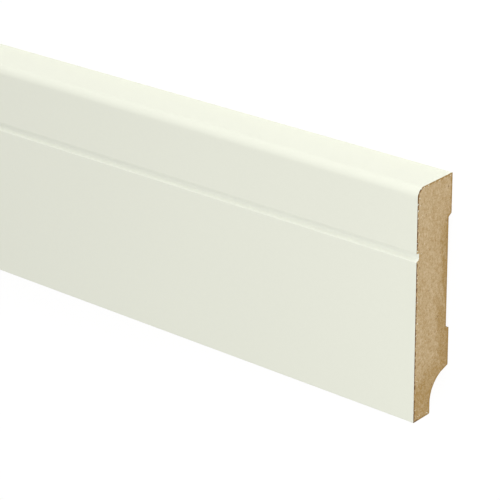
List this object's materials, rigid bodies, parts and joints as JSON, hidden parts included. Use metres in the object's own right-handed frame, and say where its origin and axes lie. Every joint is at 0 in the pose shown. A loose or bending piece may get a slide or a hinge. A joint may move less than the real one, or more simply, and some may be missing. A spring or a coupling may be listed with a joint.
{
  "type": "skirting board length",
  "caption": "Straight length of fibreboard skirting with a rounded top edge, a narrow groove along the white face, a relieved back and a cable cove behind the foot.",
  "frame": {"origin": "middle of the board's length and height, on the plane of the back lands that touch the wall", "axes": "+X along the length, +Y from the floor edge to the top edge, +Z out of the face; the board lies on its back"},
  "size_m": [2.4, 0.08, 0.018],
  "materials": {
    "white_fibreboard": "satin",
    "raw_fibreboard": "matte"
  },
  "bodies": {
    "root": {"skirting_board": "white_fibreboard"}
  },
  "joints": []
}
